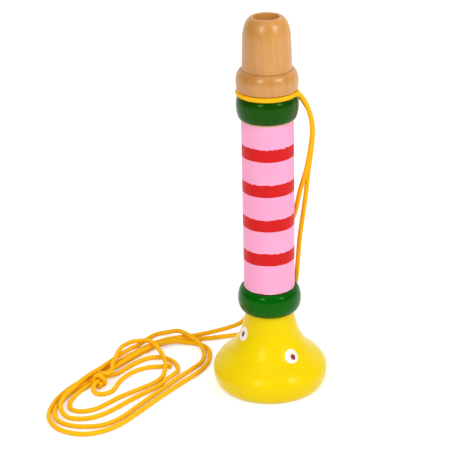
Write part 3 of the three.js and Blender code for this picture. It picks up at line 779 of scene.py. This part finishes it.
bell = make_bell()
lower_ring = make_ring("lower_ring_turned", LOWER_RING, BELL.height, green)
upper_ring = make_ring("upper_ring_turned", UPPER_RING, TUBE_TOP, green_dark, COVE)
tube = make_tube()
mouthpiece = make_mouthpiece()
for piece, node, body, slot in (
    (bell, "bell", "pipe", "yellow_paint"),
    (lower_ring, "lower_ring", "pipe", "green_paint"),
    (tube, "tube", "pipe", "pink_paint"),
    (upper_ring, "upper_ring", "pipe", "green_paint"),
    (mouthpiece, "mouthpiece", "mouth", "clear_wood"),
):
    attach(piece, body)
    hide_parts(node)


# Painted eyes: dabs that stand a little proud of the bell

# A place is degrees round from -Y and a height. A size is half the width and half the height
EYES = {
    "left": SimpleNamespace(white=(-65.7, 25.9), size=(3.15, 3.2), pupil=(-65.8, 25.8)),
    "right": SimpleNamespace(white=(34.7, 18.8), size=(3.15, 3.3), pupil=(36.1, 18.4)),
}
PUPIL_SIZE = (1.15, 1.4)
DAB_RINGS, DAB_SIDES = 7, 40
DAB_SHARP_ANGLE = 60.0
SLOPE_STEP = 0.2  # length of wall that its slope is taken over

bell_line = np.array(bell_outline())
bell_run = run_lengths(bell_line)


def on_bell(azimuth, s):
    """The point and outward normal at an angle from -Y and an arc length up the bell's outline."""
    r, z = (np.interp(s, bell_run, bell_line[:, k]) for k in (0, 1))
    r2, z2 = (np.interp(s + SLOPE_STEP, bell_run, bell_line[:, k]) for k in (0, 1))
    slope = np.array((r2 - r, z2 - z))
    out = np.array((slope[1], -slope[0])) / np.linalg.norm(slope)
    a = math.radians(azimuth)
    radial = np.array((math.sin(a), -math.cos(a), 0))
    return radial * r + np.array((0, 0, z)), radial * out[0] + np.array((0, 0, out[1]))


def dab_faces():
    """The faces of two round sheets that meet at the rim. Each is a middle point, then rings of points."""
    back = 1 + DAB_RINGS * DAB_SIDES
    rim = back - DAB_SIDES
    faces = []
    for start, flip in ((0, False), (back, True)):
        for i in range(DAB_RINGS):
            outer = start + 1 + i * DAB_SIDES
            inner = outer - DAB_SIDES
            for k in range(DAB_SIDES):
                m = (k + 1) % DAB_SIDES
                face = (inner + k, outer + k, outer + m, inner + m) if i else (start, outer + k, outer + m)
                faces.append(face[::-1] if flip else face)
    for k in range(DAB_SIDES):
        m = (k + 1) % DAB_SIDES
        faces.append((rim + k, back + rim + k, back + rim + m, rim + m))
    return faces


def make_dab(name, place, size, material, proud, sink, wobble, base=0.0):
    """A dab that stands proud by proud over base, has its back sunk by sink, and wobbles in its outline."""
    azimuth, height = place
    centre = float(np.interp(height, bell_line[:, 1], bell_run))
    radius = np.interp(centre, bell_run, bell_line[:, 0])

    def point(share, k, lift):
        a = 2 * math.pi * k / DAB_SIDES
        wave = math.sin(2 * a + 0.7) + 0.6 * math.sin(3 * a + azimuth)
        edge = 1 + wobble * wave
        across = size[0] * share * edge * math.cos(a)
        up = size[1] * share * edge * math.sin(a)
        p, normal = on_bell(azimuth + math.degrees(across / radius), centre + up)
        return p + normal * lift

    vertices = []
    for front in (True, False):
        for i in range(DAB_RINGS + 1):
            share = i / DAB_RINGS
            lift = base + (proud * (1 - share ** 4) if front else -sink)
            vertices += [point(share, k, lift) for k in range(DAB_SIDES if i else 1)]
    piece = new_piece(name, vertices, dab_faces(), [material], sharp=DAB_SHARP_ANGLE)
    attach(piece, "pipe")


for side, eye in EYES.items():
    make_dab(
        f"eye_white_{side}", eye.white, eye.size, white_dab, proud=0.16, sink=0.15, wobble=0.02,
    )
    make_dab(
        f"eye_pupil_{side}", eye.pupil, PUPIL_SIZE, pupil_dab, proud=0.1, sink=0.05, wobble=0.03, base=0.15,
    )


# The cord

CORD_SIDES = 16
RING_STEP = 0.4
END_BULGE = 0.02  # how far the middle of an end stands out
MELT_REACH = 0.9  # length over which the melted end swells
STEEP = 0.9  # rise of a unit step, above which a direction counts as upright


def tube_along(name, line, end=CORD):
    """A round tube along a line, which may swell at its far end, and the path that it follows, in metres.

    Its uv map named cord holds the length in millimetres and the share of a turn.
    """
    along = run_lengths(line)
    count = max(2, int(along[-1] / RING_STEP))
    at = np.linspace(0, along[-1], count + 1)
    centres = np.stack([np.interp(at, along, line[:, k]) for k in range(3)], axis=1)
    centres[1:-1] = (centres[:-2] + 2 * centres[1:-1] + centres[2:]) / 4
    radii = CORD / 2 + (end - CORD) / 2 * np.exp(-((at[-1] - at) / MELT_REACH) ** 2)
    ahead = np.gradient(centres, axis=0)
    ahead /= np.linalg.norm(ahead, axis=1)[:, None]
    side = np.cross(ahead[0], (0, 0, 1) if abs(ahead[0][Z]) < STEEP else (0, 1, 0))
    turns = np.linspace(0, 2 * math.pi, CORD_SIDES, endpoint=False)
    vertices, faces, uvs = [], [], []
    for c, d, radius in zip(centres, ahead, radii):
        side = side - d * side.dot(d)
        side /= np.linalg.norm(side)
        other = np.cross(d, side)
        vertices += [c + radius * (math.cos(t) * side + math.sin(t) * other) for t in turns]
    for i in range(count):
        here, there = i * CORD_SIDES, (i + 1) * CORD_SIDES
        for k in range(CORD_SIDES):
            m = (k + 1) % CORD_SIDES
            faces.append((here + k, here + m, there + m, there + k))
            uvs += [(at[i], k), (at[i], k + 1), (at[i + 1], k + 1), (at[i + 1], k)]
    first, last = len(vertices), len(vertices) + 1
    vertices += [centres[0] - ahead[0] * END_BULGE, centres[-1] + ahead[-1] * (END_BULGE + end - CORD)]
    base = count * CORD_SIDES
    for k in range(CORD_SIDES):
        m = (k + 1) % CORD_SIDES
        faces += [(first, m, k), (last, base + k, base + m)]
        uvs += [(0, k)] * 3 + [(at[-1], k)] * 3
    piece = new_piece(name, vertices, faces, [cord_fabric])
    layer = piece.data.uv_layers.new(name="cord")
    layer.data.foreach_set("uv", np.array([(u, v / CORD_SIDES) for u, v in uvs]).ravel())
    return piece, [tuple(c * MM) for c in centres]


neck_cord, neck_path = tube_along("neck_cord", neck_line)
cord_1, path_1 = tube_along("cord_first", line_1)
cord_2, path_2 = tube_along("cord_second", line_2, MELTED_END)
knot_turns, _ = tube_along("knot_turns", winding)

for piece, nodes in (
    (neck_cord, ["cord_neck_loop"]),
    (cord_1, ["cord_drop_a", "cord_loops_a"]),
    (cord_2, ["cord_drop_b", "cord_loops_b", "cord_tail"]),
    (knot_turns, ["cord_knot"]),
):
    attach(piece, "cord")
    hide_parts(*nodes)


# The reed's pieces keep their CAD shapes

def refinish(node, material):
    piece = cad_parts[node]
    piece.data.materials.clear()
    piece.data.materials.append(material)


refinish("reed_body", resin)
refinish("reed_collar", resin)
refinish("reed_tongue", brass)


# Floor, lamps and world

FLOOR_HALF = 6.0
FLOOR_DROP = 0.0001  # how far it lies below the horn, so that no two faces are one
FLOOR_COLOUR = (0.86, 0.86, 0.86, 1)
FLOOR_GLOW = 0.4  # brings it to white for the camera and reflections, and sheds no light
LAMP_TARGET = Vector((0, 0, 0.07))
LAMP_DISTANCE = 1.3
FILL = 0.72  # the world's strength as a light
SLOPE = 0.13  # how much stronger it is on the right, and weaker on the left
DARK_ROOM = 0.05  # its strength in front of the horn as a reflection sees it
BACKDROP = (0.1, 0.7)  # how far back the room turns bright, as the Y of a direction


def make_floor():
    mesh = bpy.data.meshes.new("floor")
    corners = [(FLOOR_HALF * x, FLOOR_HALF * y, 0) for x, y in ((-1, -1), (1, -1), (1, 1), (-1, 1))]
    mesh.from_pydata(corners, [], [(0, 1, 2, 3)])
    floor = bpy.data.objects.new("floor", mesh)
    scene.collection.objects.link(floor)
    floor.location.z = -FLOOR_DROP
    material = bpy.data.materials.new("floor")
    n = Nodes(material)
    n.tree.nodes.remove(n.shader)
    path = n.add("ShaderNodeLightPath").outputs
    seen = n.math("MAXIMUM", path["Is Camera Ray"], path["Is Glossy Ray"])
    seen = n.math("MAXIMUM", seen, path["Is Transmission Ray"])
    diffuse = n.add("ShaderNodeBsdfDiffuse", {"Color": FLOOR_COLOUR}).outputs[0]
    glow = n.add("ShaderNodeEmission", {"Color": WHITE, "Strength": n.times(seen, FLOOR_GLOW)}).outputs[0]
    both = n.add("ShaderNodeAddShader", {0: diffuse, 1: glow}).outputs[0]
    n.put(n.tree.nodes["Material Output"].inputs["Surface"], both)
    mesh.materials.append(material)


def softbox(name, azimuth, elevation, width, height, power):
    """An area lamp facing the horn. Azimuth 0 is over the camera and positive to its right."""
    a, e = math.radians(azimuth), math.radians(elevation)
    way = Vector((math.sin(a) * math.cos(e), -math.cos(a) * math.cos(e), math.sin(e)))
    data = bpy.data.lights.new(name, "AREA")
    data.shape = "RECTANGLE"
    data.size, data.size_y = width, height
    data.energy = power
    lamp = bpy.data.objects.new(name, data)
    scene.collection.objects.link(lamp)
    lamp.location = LAMP_TARGET + way * LAMP_DISTANCE
    lamp.rotation_mode = "QUATERNION"
    lamp.rotation_quaternion = way.to_track_quat("Z", "Y")


def make_world():
    """An even fill. A reflection sees a white backdrop behind the horn and a darker room in front of it."""
    scene.world = bpy.data.worlds.new("world")
    n = Nodes(scene.world, "Background")
    path = n.add("ShaderNodeLightPath").outputs
    way = n.parts(n.add("ShaderNodeTexCoord").outputs["Generated"])
    low, high = BACKDROP
    behind = n.add("ShaderNodeMapRange", {"Value": way["Y"], "From Min": low, "From Max": high})
    fill = n.math("MULTIPLY_ADD", way["X"], SLOPE, FILL)
    room = n.math("MULTIPLY_ADD", behind.outputs["Result"], 1 - DARK_ROOM, DARK_ROOM)
    seen = n.math("MAXIMUM", path["Is Camera Ray"], path["Is Transmission Ray"])
    strength = n.math("MULTIPLY_ADD", seen, n.minus(1.0, fill), fill)
    strength = n.math("MULTIPLY_ADD", path["Is Glossy Ray"], n.minus(room, fill), strength)
    n.set(Color=WHITE, Strength=strength)


make_floor()
softbox("softbox_left", azimuth=-27, elevation=33, width=0.13, height=0.42, power=3.5)
softbox("softbox_right", azimuth=50, elevation=33, width=0.13, height=0.42, power=3.9)
softbox("overhead", azimuth=0, elevation=80, width=0.9, height=0.9, power=1.6)
make_world()
scene.view_settings.view_transform = "Standard"
